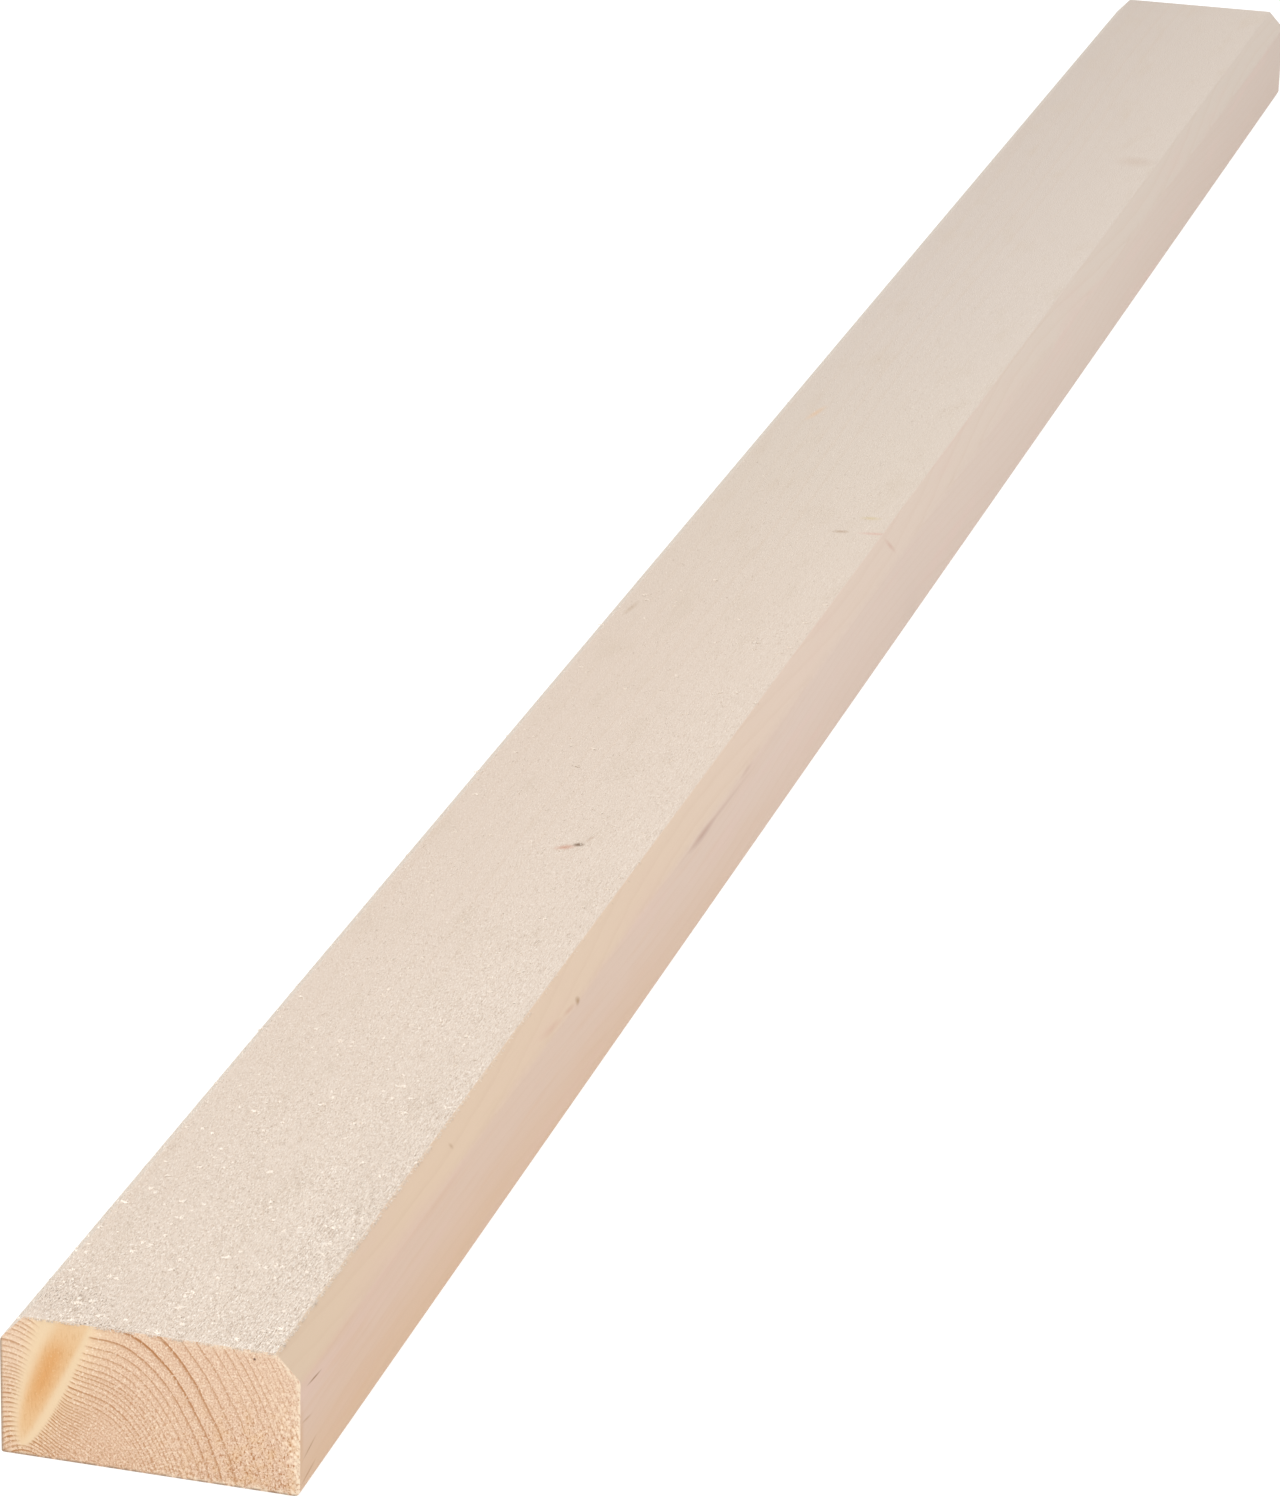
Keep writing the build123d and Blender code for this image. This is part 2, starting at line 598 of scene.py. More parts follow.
def end_relief(across, up):
    """How far the knot end's surface stands out in mm: torn fibre ends, and the smoother knot."""
    fine = lattice_noise(across, up, 0.9, 0.9, seed=21)
    coarse = lattice_noise(across, up, 2.2, 1.6, seed=22)
    torn = 0.6 * fine + 0.5 * coarse
    low_right = 0.7 + 0.8 * smooth_step(-across - up, -20.0, 45.0)
    smooth_knot = 1 - 0.8 * knot_halo(0.0, across, up)
    return TORN_HEIGHT * torn * low_right * smooth_knot + CORE_HEIGHT * knot_core(0.0, across, up)


knot_end_cloud, knot_end_triangles = fill_section(KNOT_END_GRID, seed=23)
far_end_cloud, far_end_triangles = fill_section(FAR_END_GRID, seed=24)
print(len(knot_end_triangles), "triangles on the knot end,", len(far_end_triangles), "on the far end")

# %% [markdown]
# The parts are joined into one closed mesh. Each face gets the finish of its saw or planer.
# The left bevel is as pale and fuzzy as the sawn face beside it, so it shares its finish.

# %% One closed body
SAWN, PLANED, CROSSCUT = 0, 1, 2
SAWN_SHARE = 0.4
SHARP_ANGLE = math.radians(50)


def end_faces(triangles, station, first_inner, flip):
    """Triangles of an end, with the outline's points taken from a station of the loft."""
    count = len(outline)
    mapped = np.where(triangles < count, station * count + triangles, first_inner + triangles - count)
    return mapped[:, ::-1] if flip else mapped


def new_piece(name, points, faces):
    """A mesh object from places in mm. It rides on the plank's body."""
    mesh = bpy.data.meshes.new(name)
    places = (np.asarray(points) + (knot_end_x, 0, 0)) * MM
    mesh.from_pydata(places.tolist(), [], [list(f) for f in faces])
    mesh.validate()
    piece = bpy.data.objects.new(name, mesh)
    scene.collection.objects.link(piece)
    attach(piece, "root")
    return piece


first_near = len(side_points)
first_far = first_near + len(knot_end_cloud)
near_points = np.column_stack([-end_relief(*knot_end_cloud.T), knot_end_cloud])
far_points = np.column_stack([np.full(len(far_end_cloud), length), far_end_cloud])
body_points = np.concatenate([side_points, near_points, far_points])
near_faces = end_faces(knot_end_triangles, 0, first_near, flip=False)
far_faces = end_faces(far_end_triangles, station_count - 1, first_far, flip=True)
side_finish = np.where(is_sawn.reshape(-1)[side_faces].mean(1) > SAWN_SHARE, SAWN, PLANED)
finish = np.concatenate([side_finish, np.full(len(near_faces) + len(far_faces), CROSSCUT)])

body = new_piece(
    "plank_body",
    body_points,
    [*side_faces.tolist(), *near_faces.tolist(), *far_faces.tolist()],
)
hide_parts("plank")
body.data.polygons.foreach_set("material_index", finish.astype(np.int32))
body.data.polygons.foreach_set("use_smooth", np.ones(len(finish), bool))
body.data.set_sharp_from_angle(angle=SHARP_ANGLE)
print("body:", sum(len(p.vertices) - 2 for p in body.data.polygons), "triangles")

# %% [markdown]
# Each point also carries what the shaders need to know about the wood there. These numbers
# change slowly from point to point, so Blender can blend them over a face, and the shaders draw
# the fine lines and specks from them. An image could do it too, but it would have to be huge.

# %% Numbers stored on the points
FIBRE_BEND_REACH = 6.0
FIBRE_BEND_DEPTH = 30.0


def store(piece, name, values):
    """Keeps one number for each point, for the shaders to read."""
    attribute = piece.data.attributes.new(name, "FLOAT", "POINT")
    attribute.data.foreach_set("value", np.asarray(values, np.float32))


def beside_knot(along, across, up):
    """1 in the knot and less and less beside it, where the fibres bend round it."""
    inside, _, _ = knot_inside(across, up)
    return np.exp(np.minimum(inside, 0) / FIBRE_BEND_REACH - (along / FIBRE_BEND_DEPTH) ** 2)


def round_pith(across, up):
    """How far round the pith a place is, in mm at a usual distance from it."""
    return KNOT_PULL_RADIUS * np.arctan2(up - PITH_UP, half_width - across - PITH_FROM_LEFT)


along, across, up = body_points.T
from_pith = pith_distance(along, across, up)
body_numbers = {
    "years": years_at(from_pith),
    "ring_width": ring_width_at(from_pith),
    "round_pith": round_pith(across, up),
    "from_rim": np.maximum(rim_distance(across, up), 0),
    "knot_halo": knot_halo(along, across, up),
    "knot_core": knot_core(along, across, up),
    "knot_heart": knot_heart(along, across, up),
    "beside_knot": beside_knot(along, across, up),
    "fuzz": fuzz_amount(along, across),
    "pitted": pitted_amount(along, across),
}
for name, values in body_numbers.items():
    store(body, name, values)
print(len(body_numbers), "numbers stored on each of", len(body_points), "points")

# %% [markdown]
# The fibres that stand up from the sawn face are real pieces: thin three-sided spikes. A hair
# system could draw them, but the export keeps only meshes. So one function makes all the spikes
# of a bunch at once, as arrays, and joins them in one mesh. Each is closed, with its foot sunk
# into the wood.

# %% Fibre spikes
FOOT_DEPTH = 0.12
TAPER = 0.6
TRIES_AT_ONCE = 4


def spikes(foot, heading, lift, size, width, curl, segments):
    """Points and faces of closed spikes, and the number of points in each."""
    count = len(foot)
    flat = np.stack([np.cos(heading), np.sin(heading), np.zeros(count)], 1)
    upward = np.array([0.0, 0.0, 1.0])
    side = np.cross(upward, flat)
    direction = flat * np.cos(lift)[:, None] + upward * np.sin(lift)[:, None]
    above = np.cross(direction, side)
    rings = []
    for step in range(segments + 1):
        share = step / segments
        centre = foot + direction * (size * share)[:, None] + above * (curl * share ** 2)[:, None]
        half = (width / 2 * (1 - share) ** TAPER)[:, None]
        ring = [centre + side * half, centre - side * half, centre + above * half]
        rings += [p - upward * FOOT_DEPTH for p in (ring if step < segments else [centre])]
    faces = [(0, 1, 2)]
    for step in range(segments - 1):
        for k in range(3):
            a, b = 3 * step + k, 3 * step + (k + 1) % 3
            faces += [(a, b + 3, b), (a, a + 3, b + 3)]
    tip, last = 3 * segments, 3 * segments - 3
    faces += [(last + k, tip, last + (k + 1) % 3) for k in range(3)]
    all_faces = np.array(faces)[None] + (np.arange(count) * len(rings))[:, None, None]
    return np.stack(rings, 1).reshape(-1, 3), all_faces.reshape(-1, 3), len(rings)


def fibre_piece(name, tone, segments, **shape):
    """A joined bunch of spikes as one piece, each with a tone from dark (0) to bright (1)."""
    points, faces, points_in_each = spikes(segments=segments, **shape)
    piece = new_piece(name, points, faces)
    store(piece, "tone", np.repeat(tone, points_in_each))
    print(name, len(tone), "fibres,", len(faces), "triangles")
    return piece


def scatter(rng, count, along_range, across_range, chance):
    """Feet on the upper side, kept with a chance from 0 to 1 that depends on the place."""
    kept = []
    tries = TRIES_AT_ONCE * count
    while sum(len(feet) for feet in kept) < count:
        along = rng.uniform(*along_range, tries)
        across = rng.uniform(*across_range, tries)
        take = rng.uniform(0, 1, tries) < chance(along, across)
        along, across = along[take], across[take]
        up = top_surface(across) + sawn_relief(along, across)
        kept.append(np.stack([along, across, up], 1))
    return np.concatenate(kept)[:count]


# %% [markdown]
# Short fuzz covers the sawn face. Its fibres lie more or less along the grain, and point either
# way. The near part has fine ones close together. Further off fewer and longer ones do, because
# the camera sees only their sum. Each bunch is given by how far its fibres turn from the grain
# and how steeply they lift, in radians, and by their size and width in mm, each from the least to
# the most.

# %% Fuzz
LEFT_LIMIT = half_width - 1.8
RIGHT_LIMIT = -sawn_half_width + 0.4
FUZZ_WIDTHS = (RIGHT_LIMIT, LEFT_LIMIT)
CLEAR_OF_END = 1.0
FUZZ_CHANGE = (160.0, 320.0)
FAR_FUZZ_END = 1200.0
NEAR_FUZZ_COUNT = 46000
FAR_FUZZ_COUNT = 26000


def lying_fibres(rng, foot, spread, lift, size, width):
    """The shape of fibres along the grain, forwards or back, but none of them past the knot end."""
    count = len(foot)
    size = rng.uniform(*size, count)
    backwards = (rng.uniform(0, 1, count) < 0.5) & (foot[:, 0] > size + CLEAR_OF_END)
    return dict(
        foot=foot,
        heading=backwards * math.pi + rng.normal(0, spread, count),
        lift=rng.uniform(*lift, count),
        size=size,
        width=rng.uniform(*width, count),
        curl=size * rng.uniform(-0.2, 0.1, count),
    )


def near_fuzz_chance(along, across):
    """How likely a fine fibre stands at a place. It fades out where the far fuzz fades in."""
    bare = 0.7 * pitted_amount(along, across) + smooth_step(along, *FUZZ_CHANGE)
    return 0.6 * fuzz_amount(along, across) * np.clip(1 - bare, 0, 1)


def far_fuzz_chance(along, across):
    """How likely a longer fibre stands at a place."""
    return 0.6 * fuzz_amount(along, across) * smooth_step(along, *FUZZ_CHANGE)


rng = np.random.default_rng(32)
foot = scatter(rng, NEAR_FUZZ_COUNT, (0.4, FUZZ_CHANGE[1]), FUZZ_WIDTHS, near_fuzz_chance)
near_fuzz = dict(spread=0.35, lift=(0.1, 0.5), size=(0.5, 1.5), width=(0.12, 0.28))
shape = lying_fibres(rng, foot, **near_fuzz)
fuzz = fibre_piece("sawn_fuzz", rng.uniform(0.25, 1, len(foot)), 1, **shape)

rng = np.random.default_rng(33)
foot = scatter(rng, FAR_FUZZ_COUNT, (FUZZ_CHANGE[0], FAR_FUZZ_END), FUZZ_WIDTHS, far_fuzz_chance)
long_fuzz = dict(spread=0.25, lift=(0.02, 0.2), size=(0.9, 2.4), width=(0.16, 0.34))
shape = lying_fibres(rng, foot, **long_fuzz)
far_fuzz = fibre_piece("far_fuzz", rng.uniform(0.25, 0.9, len(foot)), 1, **shape)

# %% [markdown]
# To the right and near the end the blade also drew out strands, 1.4 to 5 mm long. They lie
# almost flat along the grain and show as fine pale lines.

# %% Strands
STRAND_COUNT = 7000
STRAND_AREA_END = 620.0
STRAND_FADE_LENGTH = 330.0
STRAND_RISE = 0.04


def strand_chance(along, across):
    """How likely a strand lies at a place: in patches, more near the end and to the right."""
    patchy = smooth_step(lattice_noise(along, across, 22.0, 7.0, seed=36), -0.6, 0.5)
    to_the_right = 0.06 + 0.94 * smooth_step(-across, -16.0, 34.0)
    return patchy * to_the_right * bell(along, 0.0, STRAND_FADE_LENGTH)


rng = np.random.default_rng(35)
foot = scatter(rng, STRAND_COUNT, (0.6, STRAND_AREA_END), FUZZ_WIDTHS, strand_chance)
foot[:, 2] += STRAND_RISE
strand = dict(spread=0.1, lift=(0.0, 0.04), size=(1.4, 5.0), width=(0.14, 0.28))
shape = lying_fibres(rng, foot, **strand)
strands = fibre_piece("sawn_strands", rng.uniform(0.6, 1, len(foot)), 1, **shape)

# %% [markdown]
# Here and there the saw pulled up a tuft: a few pale fibres together, 1 to 4 mm long, with a
# small painted shadow on their right, away from the lamp. Most tufts are small. Each is some
# bright curved spikes round one place, and some dark ones that lie flat beside it as its painted
# shadow. Further along the plank both are drawn weaker, because there the picture hardly shows them.

# %% Tufts
TUFT_COUNT = 310
TUFT_AREA_END = 760.0
PALE_IN_TUFT = 7
PALE_SPREAD = 0.28
SHADOW_FIBRES_IN_TUFT = 3
SHADOW_SPREAD = 0.25
SHADOW_TO_THE_RIGHT = 0.75
SHADOW_RISE = 0.02


def tuft_chance(along, across):
    """How likely a tuft stands at a place: in loose groups, and more near the knot's corner."""
    groups = 0.25 + 0.75 * smooth_step(lattice_noise(along, across, 14.0, 9.0, seed=31), 0.1, 0.7)
    corner = 1 + 0.6 * bell(along, 0.0, 25.0) * smooth_step(across, 10.0, 25.0)
    return 0.35 * groups * corner * fuzz_amount(along, across)


rng = np.random.default_rng(34)
tuft_place = scatter(rng, TUFT_COUNT, (1.5, TUFT_AREA_END), FUZZ_WIDTHS, tuft_chance)
tuft_size = 0.6 + 1.2 * rng.uniform(0, 1, TUFT_COUNT) ** 2
tuft_tone = 0.97 - 0.32 * smooth_step(tuft_place[:, 0], 90.0, 400.0)

pale_size = np.repeat(tuft_size, PALE_IN_TUFT)
foot = np.repeat(tuft_place, PALE_IN_TUFT, 0)
foot[:, :2] += rng.normal(0, PALE_SPREAD, (len(foot), 2)) * pale_size[:, None]
pale_fibre = dict(spread=0.8, lift=(0.0, 0.45), size=(0.7, 1.3), width=(0.6, 1.0))
shape = lying_fibres(rng, foot, **pale_fibre)
shape["size"] = shape["size"] * pale_size
shape["curl"] = shape["size"] * rng.uniform(-0.35, 0.0, len(foot))
pale_tone = np.repeat(tuft_tone, PALE_IN_TUFT) + rng.uniform(-0.15, 0.05, len(foot))
tufts = fibre_piece("sawn_tufts", pale_tone, 2, **shape)

# Painted shadow: dark flat spikes on each tuft's right, where the lamp on the left leaves shade.
foot = np.repeat(tuft_place, SHADOW_FIBRES_IN_TUFT, 0)
foot[:, 1] -= SHADOW_TO_THE_RIGHT * np.repeat(tuft_size, SHADOW_FIBRES_IN_TUFT)
foot[:, :2] += rng.normal(0, SHADOW_SPREAD, (len(foot), 2))
foot[:, 2] += SHADOW_RISE
shadow_fibre = dict(spread=0.4, lift=(-0.02, 0.05), size=(0.4, 0.9), width=(0.3, 0.5))
shape = lying_fibres(rng, foot, **shadow_fibre)
shadow_tone = 0.3 * smooth_step(foot[:, 0], 60.0, 300.0)
tuft_shadows = fibre_piece("painted_tuft_shadows", shadow_tone, 1, **shape)

# %% [markdown]
# Along the right arris the blade came out of the wood and left a ragged fringe that hangs over
# the bevel. The knot end's upper edge has one too. Both are denser in some places than in
# others, so the edge looks nibbled.

# %% Fringes along two edges
RIGHT_FRINGE_COUNT = 3600
RIGHT_FRINGE_LENGTH = 420.0
RIGHT_FRINGE_WIDTHS = (-sawn_half_width - 0.5, RIGHT_LIMIT + 0.6)
RIGHT_FRINGE_FADE_LENGTH = 190.0
END_FRINGE_COUNT = 1300
END_FRINGE_DEPTHS = (0.1, 0.7)


def fringe_chance(along, across):
    """How likely a fibre of the right fringe stands at a place."""
    clumps = smooth_step(lattice_noise(along, across, 2.4, 60.0, seed=41), -0.4, 0.5)
    return (0.15 + 0.85 * clumps) * bell(along, 0.0, RIGHT_FRINGE_FADE_LENGTH)


def end_fringe_chance(along, across):
    """How likely a fibre of the knot end's fringe stands at a place."""
    return 0.1 + 0.9 * smooth_step(lattice_noise(across, along, 2.0, 60.0, seed=42), -0.3, 0.5)


def hanging_fibres(rng, foot, towards, spread, size, width):
    """The shape of fibres that hang over an edge, pointing more or less one way."""
    count = len(foot)
    size = rng.uniform(*size, count)
    return dict(
        foot=foot,
        heading=towards + rng.normal(0, spread, count),
        lift=rng.uniform(-0.6, 0.05, count),
        size=size,
        width=rng.uniform(*width, count),
        curl=size * rng.uniform(-0.3, 0.0, count),
    )


rng = np.random.default_rng(43)
right_area = (0.0, RIGHT_FRINGE_LENGTH), RIGHT_FRINGE_WIDTHS
foot = scatter(rng, RIGHT_FRINGE_COUNT, *right_area, fringe_chance)
rightwards = dict(towards=-math.pi / 2, spread=0.7, size=(0.3, 1.0), width=(0.2, 0.4))
shape = hanging_fibres(rng, foot, **rightwards)
right_fringe = fibre_piece("arris_fringe", rng.uniform(0.3, 0.9, len(foot)), 2, **shape)

rng = np.random.default_rng(44)
end_area = END_FRINGE_DEPTHS, (RIGHT_LIMIT, sawn_half_width)
foot = scatter(rng, END_FRINGE_COUNT, *end_area, end_fringe_chance)
outwards = dict(towards=math.pi, spread=0.8, size=(0.3, 1.2), width=(0.2, 0.4))
shape = hanging_fibres(rng, foot, **outwards)
end_fringe = fibre_piece("end_fringe", rng.uniform(0.1, 0.9, len(foot)), 2, **shape)
fibre_pieces = [fuzz, far_fuzz, strands, tufts, tuft_shadows, right_fringe, end_fringe]

# %% [markdown]
# The finishes are built up as a painter would: a base colour, and then one thin coat after
# another, each with a mask that says where it goes. So a few helpers are enough. One makes a
# mask of random patches of a real size, one gives the limits of a mask that follows a
# coordinate, and one lays a coat of colour over what is there. A finish then reads as a list of
# coats, the lowest first: the colour, how strong it is, and the masks that it needs.

# %% Helpers for patterns
WOOD_IOR = 1.53
WOOD_SPECULAR = 0.3


def patches(tree, size, start, end, seed=0.0):
    """A mask of random patches of a size in mm along x, y and z: 0 below start, 1 above end."""
    place = add(tree, "TexCoord").outputs["Object"]
    per_metre = [1 / (MM * side) for side in size]
    cell = add(tree, "VectorMath", {0: place, 1: per_metre, 2: (seed,) * 3}, operation="MULTIPLY_ADD")
    cloud = add(tree, "TexNoise", {"Vector": cell, "Scale": 1.0, "Detail": 2.0, "Roughness": 0.6})
    limits = {"Value": cloud, "From Min": start, "From Max": end}
    return add(tree, "MapRange", limits, interpolation_type="SMOOTHSTEP")


def between(coordinate, start, end):
    """The inputs of a mask that grows from 0 at start to 1 at end, both in mm."""
    return {"Value": coordinate, "From Min": start * MM, "From Max": end * MM}


def stored(tree, *names):
    """The numbers kept under these names on the piece's points, as sockets."""
    return [add(tree, "Attribute", attribute_name=name).outputs["Fac"] for name in names]


def coat(tree, under, over, strength, *masks):
    """The colour under, with a hex colour laid over it as strongly as told where the masks are."""
    amount = strength
    for mask in masks:
        amount = add(tree, "Math", {0: mask, 1: amount}, operation="MULTIPLY", use_clamp=True)
    return add(tree, "Mix", {"Factor": amount, "A": under, "B": linear(over)}, data_type="RGBA")


def coats(tree, colour, *layers):
    """The colour with several coats over it, the lowest first."""
    for layer in layers:
        colour = coat(tree, colour, *layer)
    return colour


def new_finish(name):
    """An empty material for a finish, and its node tree."""
    material = bpy.data.materials.new(name)
    material.use_nodes = True
    material.node_tree.nodes.clear()
    return material, material.node_tree


def finish_wood(tree, colour, roughness, grain, depth):
    """Ends a finish: dry wood of a colour, with the grain as fine relief of a depth in mm."""
    relief_node = add(tree, "Bump", {"Height": grain, "Distance": depth * MM, "Strength": 1.0})
    inputs = {"Base Color": colour, "Roughness": roughness, "IOR": WOOD_IOR, "Normal": relief_node}
    wood = add(tree, "BsdfPrincipled", inputs)
    wood.inputs["Specular IOR Level"].default_value = WOOD_SPECULAR
    add(tree, "OutputMaterial", {"Surface": wood})
    print(f"finish of {len(tree.nodes)} nodes, roughness {roughness}, grain {depth} mm deep")


# %% [markdown]
# Spruce lays down pale earlywood in spring and dense, orange-brown latewood at the end of the
# season. The years number counts up by one from ring to ring, so its fraction says how far
# through the year a place is, and times the ring's width that gives millimetres. The latewood
# line is drawn at the year's end, sharp outwards and soft inwards. Good and poor summers give
# each line a strength of its own. A stronger line is also broader, and the widest years have the
# strongest. Each strength below holds from its year on, counted from the pith. No ring is a
# perfect curve, so a slow ripple moves the lines by up to a fifth of a year.

# %% Ring lines
LINE_REACH = 1.7
RIPPLE_SIZE = (30, 14, 14)
RIPPLE_YEARS = 0.2
FAINTEST_SUMMER = 0.7
LINE_PROFILE = [(0, 0.4), (0.08, 1.0), (0.24, 0.85), (0.42, 0.25), (1.0, 0.0)]
LINE_STRENGTHS = [
    (0, 0.75), (27, 1.0), (28, 0.8), (36, 1.0), (37, 1.2), (38, 1.35), (39, 0.9), (41, 0.7), (45, 0.55)
]


def ring_line(tree):
    """0 in earlywood, and up to 1 on a latewood line."""
    years, width = stored(tree, "years", "ring_width")
    ripple = patches(tree, RIPPLE_SIZE, 0.0, 1.0)
    rippled = add(tree, "Math", {0: ripple, 1: RIPPLE_YEARS, 2: years}, operation="MULTIPLY_ADD")
    season = add(tree, "Math", {0: rippled}, operation="FRACT")
    left_over = add(tree, "Math", {0: 1.0, 1: season}, operation="SUBTRACT")
    inwards = add(tree, "Math", {0: left_over, 1: width}, operation="MULTIPLY")
    year = add(tree, "Math", {0: rippled}, operation="FLOOR")
    luck = add(tree, "TexWhiteNoise", {"W": year}, noise_dimensions="1D")
    summer = add(tree, "MapRange", {"Value": luck, "To Min": FAINTEST_SUMMER, "To Max": 1.0})
    lifetime = add(tree, "Math", {0: year, 1: all_years}, operation="DIVIDE")
    steps = [(max(first - 0.5, 0) / all_years, level) for first, level in LINE_STRENGTHS]
    strength = add(tree, "ValToRGB", {"Fac": lifetime}, steps)
    strength.color_ramp.interpolation = "CONSTANT"
    reach = add(tree, "Math", {0: strength, 1: LINE_REACH}, operation="MULTIPLY")
    share = add(tree, "Math", {0: inwards, 1: reach}, operation="DIVIDE")
    line = add(tree, "ValToRGB", {"Fac": share}, LINE_PROFILE)
    drawn = add(tree, "Math", {0: line, 1: summer}, operation="MULTIPLY")
    return add(tree, "Math", {0: drawn, 1: strength}, operation="MULTIPLY")


# %% [markdown]
# Small knots, cracks and stains are marks at known places. A mark is a soft oval: a place and
# three reaches in mm, a turn in degrees, a colour and a strength. They could be cut in, but on
# the real plank they are only seen and not felt.

# %% Marks
def add_marks(tree, colour, marks, turn_axis):
    """Lays marks over a colour, each turned round an axis: 2 is upright, and 1 goes across."""
    for place, reach, turn, over, strength in marks:
        settings = {
            "Vector": add(tree, "TexCoord").outputs["Object"],
            "Location": metres(*place),
            "Rotation": [math.radians(turn) if axis == turn_axis else 0.0 for axis in range(3)],
            "Scale": [side * MM for side in reach],
        }
        inside = add(tree, "Mapping", settings, vector_type="TEXTURE")
        oval = add(tree, "TexGradient", {"Vector": inside}, gradient_type="SPHERICAL")
        colour = coat(tree, colour, over, strength, oval.outputs["Fac"])
    return colour


top_marks = [
    ((427.3, -10.7, thickness), (5.5, 2.7, 2.5), -50, "#C4957F", 0.9),
    ((431.3, -14.8, thickness), (2.8, 2.1, 2.5), -50, "#86705D", 1.4),
    ((438.5, -17.5, thickness), (4.5, 1.1, 2.5), -12, "#B9A08C", 0.7),
    ((814.5, -23.2, thickness), (2.6, 4.6, 2.5), 15, "#B39A84", 0.8),
    ((816.2, -37.8, thickness), (2.4, 9.0, 4.0), 10, "#D2AE9F", 0.8),
    ((835.8, -31.4, thickness), (3.0, 5.5, 2.5), 8, "#CDBB94", 0.8),
    ((1450.0, -29.3, thickness), (13.0, 12.0, 2.5), 10, "#C0AA98", 0.42),
    ((973.2, 26.7, thickness), (14.0, 2.2, 2.5), -9, "#D9B28A", 0.6),
    ((691.0, 36.2, thickness), (11.0, 1.6, 2.5), -5, "#BBA690", 0.7),
]
side_marks = [
    ((170.3, -45.0, 43.7), (1.6, 2.5, 1.2), 0, "#B99877", 0.7),
    ((311.0, -49.0, 38.8), (3.2, 2.5, 1.9), 10, "#AD8C6B", 1.1),
    ((300.7, -48.9, 39.6), (8.0, 2.5, 1.0), 4, "#CBA48E", 0.7),
    ((281.0, -48.0, 40.6), (16.0, 2.5, 1.2), 4, "#D0A894", 0.5),
    ((13.7, -49.0, 34.5), (8.5, 2.5, 0.55), 5, "#97704E", 1.2),
    ((9.0, -49.0, 12.5), (8.0, 2.5, 0.6), -10, "#A37C5C", 0.9),
    ((6.0, -49.0, 24.0), (6.0, 2.5, 0.6), 8, "#AE8764", 0.8),
    ((8.0, -49.0, 4.5), (9.0, 2.5, 0.7), -8, "#A97C58", 0.8),
    ((1.0, -49.0, 20.0), (3.0, 2.5, 16.0), 0, "#C79A6E", 0.5),
    ((484.0, -49.0, 36.4), (22.0, 2.5, 2.8), 1.4, "#B39182", 0.8),
    ((508.0, -49.0, 36.2), (62.0, 2.5, 1.5), 1.4, "#B99684", 0.45),
    ((551.7, -49.0, 37.9), (12.0, 2.5, 1.5), 0, "#B99684", 0.4),
    ((815.0, -45.0, 44.0), (3.0, 5.0, 4.0), 0, "#C9A593", 0.7),
]
end_marks = [((0.0, -34.2, 45.0), (3.0, 0.55, 0.55), 0, "#6F5140", 1.8)]
for side, marks in ("the top", top_marks), ("the right", side_marks), ("the end", end_marks):
    print(f"marks on {side}: {len(marks)}")

# %% [markdown]
# The sawn face is dry, matt spruce that has been opened by the saw: grey-beige, paler and
# greyer than the planed wood, because the torn fibres scatter the light, and a little paler to
# the right. From close by it shows pale strands along the grain, with painted shade in the gaps
# between them, about 0.5 mm wide. On the right the gaps join up in streaks of painted shade, and
# by the knot's corner and the edges the saw left pits, painted dark as the shade in them. The left
# bevel shares this finish and has a greyer coat.

# %% Finish: fine-sawn spruce
sawn, tree = new_finish("fine_sawn_spruce")
place = add(tree, "SeparateXYZ", {0: add(tree, "TexCoord").outputs["Object"]})
across = place.outputs["Y"]
along_share = add(tree, "MapRange", between(place.outputs["X"], knot_end_x, far_end_x))
to_the_right = add(tree, "MapRange", between(across, half_width, -half_width))
left_limits = between(across, sawn_half_width - 0.4, sawn_half_width + 1)
on_left_bevel = add(tree, "MapRange", left_limits, interpolation_type="SMOOTHSTEP")
on_right = add(tree, "MapRange", between(across, 8, -30))
fuzz_here, pitted_here = stored(tree, "fuzz", "pitted")

# The tones darken and grey towards the far end, as a painted falloff of the light along the plank.
sawn_tones = [
    (0, "#D7C7B8"), (0.06, "#D6C6B7"), (0.2, "#D3C2B3"), (0.36, "#D1C0B1"),
    (0.5, "#CDBFB1"), (0.64, "#CBBEB3"), (1, "#C7BAAF"),
]
broad_clouds = patches(tree, (45, 12, 12), 0.5, 0.8)
# Painted shade: the gap, streak, hole and pit masks darken the face where shade falls between and under
# the torn fibres.
gap_shade = patches(tree, (1.8, 0.45, 0.45), 0.56, 0.67, 3.0)
streak_shade = patches(tree, (9, 0.5, 0.5), 0.54, 0.64, 15.0)
pale_strands = patches(tree, (1.8, 0.4, 0.4), 0.53, 0.66, 7.0)
hole_shade = patches(tree, (0.9, 0.5, 0.5), 0.62, 0.68, 13.0)
pale_streaks = patches(tree, (9, 0.5, 0.5), 0.55, 0.65, 17.0)
pit_shade = patches(tree, (1.3, 0.6, 0.6), 0.56, 0.62, 11.0)
colour = coats(
    tree, add(tree, "ValToRGB", {"Fac": along_share}, sawn_tones),
    ("#E6D9CB", 0.24, to_the_right),
    ("#C4A78A", 0.10, ring_line(tree)),
    ("#C8B7A4", 0.35, broad_clouds),
    ("#F3E6D8", 0.14, to_the_right, fuzz_here),
    ("#A58D77", 0.75, gap_shade, fuzz_here),
    ("#A98F78", 0.45, streak_shade, fuzz_here, on_right),
    ("#FBF3E8", 0.95, pale_strands, fuzz_here),
    ("#8E7764", 0.55, hole_shade, fuzz_here),
    ("#FBF3E8", 0.42, pale_streaks, fuzz_here, on_right),
    ("#75604F", 0.9, pit_shade, pitted_here),
    ("#C3B9AD", 0.7, on_left_bevel),
)
